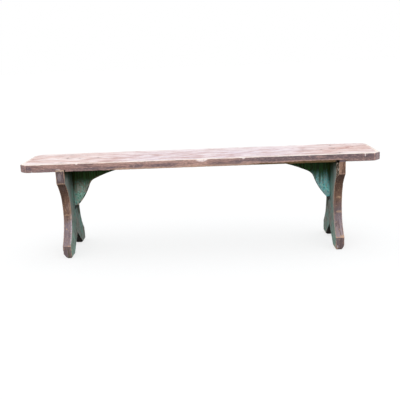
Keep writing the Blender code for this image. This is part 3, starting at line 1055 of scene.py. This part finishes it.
def bracket_material():
    """Old green paint with painted shade under the seat and beside the leg, brushed in lines, worn, and
    rubbed bare at the free edge.
    """
    t = Paint("worn green paint")
    line = t.noise((150, 150, 5), 3.0, 0.5, seed=1.0)
    patch = t.noise((26, 26, 18), 4.0, 0.6, seed=2.0)
    speck = t.noise((130, 130, 100), 3.0, 0.6, seed=3.0)
    fibre = t.noise((340, 340, 18), 4.0, 0.6, seed=4.0)
    fleck = t.noise((130, 130, 70), 3.0, 0.6, seed=5.0)
    left, right = t.sides()
    ragged = t.plus(t.swing(line, t.blend(right, 0.015, 0.07)), t.swing(speck, 0.04))
    drop = t.minus(t.minus(UNDERSIDE, t.z), ragged)

    coat = Coat(t, PAINT_GREEN)
    coat.lay(PAINT_TEAL, t.plus((patch, 0.40, 0.62, 0.0, 0.45), t.times(right, 0.55), clamp=True))
    worn = t.range(t.plus(speck, t.swing(patch, 0.7)), 0.49, 0.55)
    band = t.times(t.near(drop, 0.105, 0.045), left, (fleck, 0.40, 0.58, 1.0, 0.35))
    worn = t.plus(t.times(worn, t.blend(right, 0.85, 0.6)), band, clamp=True)
    coat.lay(PAINT_WORN, worn)
    coat.lay(PAINT_SHADE, (speck, 0.45, 0.37), 0.8)
    brushed = t.range(drop, 0.11, 0.15, t.blend(right, 0.4, 0.65), 0.25)
    coat.lay(PAINT_SHADE, (line, 0.51, 0.58), brushed)
    coat.lay(PAINT_BRIGHT, (fleck, 0.57, 0.63), 0.8)
    # Painted shade: the bracket's top darkens towards near-black green close under the seat
    under_seat_shade = t.mix((line, 0.44, 0.58, 0.0, 0.75), SHADE_AND_GRIME, PAINT_DEEP)
    coat.lay(under_seat_shade, (drop, 0.056, t.blend(right, 0.128, 0.132), 0.98, 0.0))
    # Painted shade where the bracket meets the leg, strongest high up
    reach = t.minus(t.blend(right, -INNER_FACE["left"], INNER_FACE["right"]), t.size(t.x))
    coat.lay(SHADE_AND_GRIME, (reach, 0.024, 0.004), (drop, 0.09, 0.17, 1.0, 0.1), 0.8)
    coat.lay(PAINT_RIM, t.attribute("rim"))
    bare = t.mix((speck, 0.44, 0.54), RIM_DARK, BARE_TAN)
    from_arris = t.plus(t.attribute("arris"), t.swing(speck, 0.010))
    rubbed = t.range(from_arris, t.blend(right, 0.0105, 0.0040), 0.0012)
    free = t.range(t.size(t.x), -INNER_FACE["left"] - 0.008, -INNER_FACE["left"] - 0.014)
    coat.lay(bare, rubbed, free, (drop, 0.03, 0.09, 0.05, 0.85))
    coat.shade((fibre, 0.25, 0.75, 0.86, 1.12))
    relief = t.plus(t.times(fibre, 0.6), t.times(worn, -0.5))
    return t.finish(coat.colour, t.blend(worn, 0.6, 0.85), relief, 0.0006, 0.02)


def leg_rim(t, left, right, streak, grit, patch):
    """A leg's edges: brown above, mauve below, darker under the shoulder, with bare scuffs."""
    low = t.range(t.z, 0.22, 0.12)
    block = t.range(t.z, SHOULDER - 0.001, SHOULDER + 0.001)
    rim = Coat(t, RIM_BROWN)
    rim.lay(RIM_MAUVE, t.plus((patch, 0.46, 0.66, 0.0, 0.5), t.times(low, 0.75), clamp=True))
    rim.lay(RIM_SLATE, block, left, 0.9)
    rim.lay(RIM_WARM, block, right, 0.75)
    rim.lay(RIM_DARK, (streak, 0.50, 0.62, 0.0, 0.65), t.blend(low, 1.0, 0.5))
    rim.lay(RIM_DARK, (grit, 0.43, 0.35, 0.0, 0.55), t.blend(low, 1.0, 0.2))
    rim.lay(BARE_TAN, (grit, 0.57, 0.64), 0.65)
    rim.lay(RIM_SLATE, right, t.near(t.z, 0.175, 0.075), 0.45)
    # Darker on the scoop up to the shoulder
    rim.lay(RIM_DARK, (t.z, 0.22, SHOULDER), t.minus(1.0, block), 0.6)
    foot = t.range(t.z, FOOT_HEIGHT + 0.001, FOOT_HEIGHT - 0.002)
    rim.lay(RIM_DARK, foot, 0.35)
    rim.lay(MOSS, foot, t.near(t.x, LEG_HIGH["left"].x - 0.008, 0.014), (streak, 0.44, 0.54), 0.7)
    shin = t.times((t.z, 0.17, 0.12), (t.z, FOOT_HEIGHT, FOOT_HEIGHT + 0.004))
    rim.lay(RIM_LILAC, right, shin, (streak, 0.60, 0.42, 0.0, 0.22))
    rim.lay(RIM_LILAC, t.spots(t.x, t.z, PALE_PATCHES))
    rim.lay(BARE_TAN, t.spots(t.x, t.z, BARE_SCUFFS), (grit, 0.38, 0.56, 0.2, 0.85))
    return rim.colour


def leg_face(t, right, streak, patch):
    """A leg's broad faces: grey-green inside, palest towards the front as painted light, with painted shade
    under the seat and below the bracket's nose, mostly worn to brown outside.
    """
    grain = t.noise((46, 46, 9), 5.0, 0.65, seed=6.0)
    blotch = t.noise((60, 60, 40), 4.0, 0.65, seed=7.0)
    face = Coat(t, FACE_GREY)
    face.lay(FACE_GREEN, (patch, 0.44, 0.64))
    face.lay(FACE_TEAL, (grain, 0.50, 0.60), 0.7)
    face.lay(FACE_DARK, (grain, 0.46, 0.38), 0.6)
    face.lay(FACE_TEAL, (blotch, 0.55, 0.63), 0.6)
    face.lay(FACE_DARK, (blotch, 0.45, 0.38), 0.5)
    # Painted light: the inner face turns paler towards its front edge, high up
    front = t.times((t.y, -0.02, -0.12), (t.z, 0.14, 0.26))
    face.lay(FACE_PALE, front, (grain, 0.62, 0.42, 0.5, 0.95))
    drop = t.minus(t.minus(UNDERSIDE, t.z), t.swing(streak, 0.04))
    # Painted shade in the corner under the seat towards the bracket, with some grime
    face.lay(SHADE_AND_GRIME, (drop, 0.14, 0.02), (t.y, -0.125, -0.04), 0.9)
    face.lay(FACE_MINT, (t.y, -0.075, -0.03), t.near(drop, 0.14, 0.075), 0.6)
    # Painted shade just under the seat
    face.lay(SHADE_AND_GRIME, (drop, 0.006, 0.056, 0.97, 0.0))
    # Painted shadow below the bracket's nose, with a ragged lower edge
    shadow_height = t.plus(t.z, t.swing(streak, 0.05))
    face.lay(SHADE_AND_GRIME, t.spot(t.y, shadow_height, *NOSE_SHADE), 0.75)
    face.lay(DIRT_AND_SHADOW_BLACK, t.spot(t.y, shadow_height, *NOSE_SHADOW_CORE), (blotch, 0.40, 0.56, 0.85, 1.0))
    toe = t.times((t.y, -0.04, -0.10), (t.z, 0.20, 0.08), t.blend(right, 1.0, 0.55))
    face.lay(FACE_TOE, toe, (blotch, 0.40, 0.56, 0.3, 0.8))
    outer = Coat(t, OUTER_BROWN)
    outer.lay(FACE_GREEN, (patch, 0.50, 0.62), 0.8)
    outer.lay(RIM_DARK, (streak, 0.46, 0.64), 0.7)
    middle = LEG_CENTRE["right"]
    face.lay(outer.colour, (t.size(t.x), middle - 0.004, middle + 0.004))
    return face


def leg_material():
    t = Paint("worn leg paint")
    streak = t.noise((120, 120, 12), 5.0, 0.6, seed=1.0)
    patch = t.noise((18, 18, 12), 4.0, 0.6, seed=2.0)
    grit = t.noise((210, 210, 110), 4.0, 0.6, seed=3.0)
    fibre = t.noise((340, 340, 18), 4.0, 0.6, seed=4.0)
    rim_streak = t.noise((120, 14, 12), 5.0, 0.6, seed=5.0)
    left, right = t.sides()
    rim = t.attribute("rim")
    coat = leg_face(t, right, streak, patch)
    coat.lay(leg_rim(t, left, right, rim_streak, grit, patch), rim)

    rubbed = t.range(t.plus(t.attribute("arris"), t.swing(grit, 0.010)), 0.0034, 0.0010)
    bare = t.mix((fibre, 0.35, 0.65), EDGE_TAN, BARE_TAN)
    outer_left = t.range(t.x, LEG_CENTRE["left"] + 0.010, LEG_CENTRE["left"])
    coat.lay(bare, rubbed, t.blend(t.times(t.near(t.z, FOOT_HEIGHT, 0.010), outer_left), 0.9, 0.25))
    inner_left = t.times(t.near(t.x, LEG_HIGH["left"].x, 0.011), rim, left)
    shin = t.times((t.z, 0.22, 0.16), (t.z, FOOT_HEIGHT, FOOT_HEIGHT + 0.01))
    coat.lay(RIM_LILAC, inner_left, shin, (grit, 0.40, 0.50))
    coat.lay(EDGE_MAUVE, (t.z, UNDERSIDE - 0.001, UNDERSIDE + 0.001), right)
    wavy = t.plus(t.z, t.swing(grit, 0.012))
    coat.lay(TOP_CREAM, t.near(wavy, LEG_TOP - 0.003, 0.0045), left, rim, 0.9)
    trodden = t.times((t.z, 0.015, 0.006), right, (t.x, 0.630, 0.620))
    coat.lay(BARE_TAN, trodden, (grit, 0.36, 0.52, 0.3, 0.9))

    hewn = Coat(t, FACE_DARK)
    hewn.lay(OUTER_BROWN, (grit, 0.46, 0.52))
    hewn.lay(WORN_CREAM, (grit, 0.56, 0.61))
    # Painted shade at the chamfer's top, just under the seat
    hewn.lay(DIRT_AND_SHADOW_BLACK, (t.z, UNDERSIDE - 0.008, UNDERSIDE - 0.002))
    coat.lay(hewn.colour, t.attribute("chamfer"))
    # The notch's faces near-black: dirty bare wood with painted shadow
    coat.lay(DIRT_AND_SHADOW_BLACK, t.attribute("notch"))
    coat.shade((fibre, 0.25, 0.75, 0.84, 1.14))
    relief = t.plus(t.times(fibre, 0.7), t.times(rubbed, -0.4))
    return t.finish(coat.colour, (streak, 0.3, 0.7, 0.6, 0.8), relief, 0.0006, 0.05)


def iron_material():
    t = Paint("forged iron")
    rust = t.noise((420, 420, 420), 5.0, 0.65, seed=1.0)
    pit = t.noise((900, 900, 900), 3.0, 0.6, seed=2.0)
    colour = t.mix((rust, 0.40, 0.62), IRON_DARK, IRON_RUST)
    metallic = t.range(rust, 0.40, 0.62, 0.6, 0.05)
    return t.finish(colour, (rust, 0.35, 0.65, 0.45, 0.85), pit, 0.0004, 0.4, metallic)


def build_camera():
    camera = add_object("camera", bpy.data.cameras.new("camera"))
    camera.data.sensor_width = FRAME_WIDTH
    camera.data.lens = LENS
    turned = Matrix.Translation(CAMERA_PLACE)
    for angle, axis in ((-CAMERA_YAW, "Z"), (math.pi / 2 - CAMERA_PITCH, "X"), (CAMERA_ROLL, "Z")):
        turned = turned @ Matrix.Rotation(angle, 4, axis)
    camera.matrix_world = turned
    bpy.context.scene.camera = camera


def build_sky():
    """An overcast sky, brighter overhead than at the horizon, in front of a white backdrop."""
    world = bpy.data.worlds.new("overcast sky")
    bpy.context.scene.world = world
    t = Tree(world)
    t.nodes.remove(t.nodes["Background"])
    height = t.add("SeparateXYZ", {0: t.add("TexCoord")["Generated"]})[2]
    strength = t.range(height, 0.0, 1.0, SKY_HORIZON, SKY_ZENITH, "LINEAR")
    sky = t.add("Background", {"Color": SKY_COLOUR, "Strength": strength})[0]
    backdrop = t.add("Background", {"Color": WHITE, "Strength": 1.0})[0]
    t.show("World Output", sky, backdrop)


def build_lamp():
    lamp = bpy.data.lights.new("soft lamp", "AREA")
    lamp.shape = "DISK"
    lamp.size = LAMP_SIZE
    lamp.energy = LAMP_POWER
    obj = add_object("soft lamp", lamp)
    aim = Vector((0, 0, UNDERSIDE)) - LAMP_PLACE
    obj.matrix_world = Matrix.Translation(LAMP_PLACE) @ aim.to_track_quat("-Z", "Y").to_matrix().to_4x4()


def build_floor():
    """A white floor that shows a softened shadow, and throws as little light back up as short grass."""
    mesh = bpy.data.meshes.new("floor")
    mesh.from_pydata([(a * FLOOR_REACH, b * FLOOR_REACH, 0) for a, b in SQUARE], [], [(0, 1, 2, 3)])
    floor = add_object("floor", mesh)
    t = Tree(bpy.data.materials.new("white floor"))
    t.nodes.remove(t.nodes["Principled BSDF"])
    glow = t.add("Emission", {"Color": WHITE, "Strength": 1.0})[0]
    shadowed = t.add("BsdfDiffuse", {"Color": WHITE})[0]
    bounce = t.add("BsdfDiffuse", {"Color": (FLOOR_BOUNCE, FLOOR_BOUNCE, FLOOR_BOUNCE, 1)})[0]
    t.show("Material Output", bounce, t.mix_shader(FLOOR_SHADOW, glow, shadowed))
    mesh.materials.append(t.owner)


def dress_nails(material):
    for name in NAILS:
        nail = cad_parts[name]
        for slot in nail.material_slots:
            slot.material = material


def main():
    bpy.context.scene.view_settings.view_transform = "Standard"
    build_camera()
    build_sky()
    build_lamp()
    build_floor()
    build_seat(seat_material())
    leg_paint, bracket_paint = leg_material(), bracket_material()
    for side in SIDES:
        build_leg(side, leg_paint)
        build_bracket(side, bracket_paint)
    dress_nails(iron_material())


main()
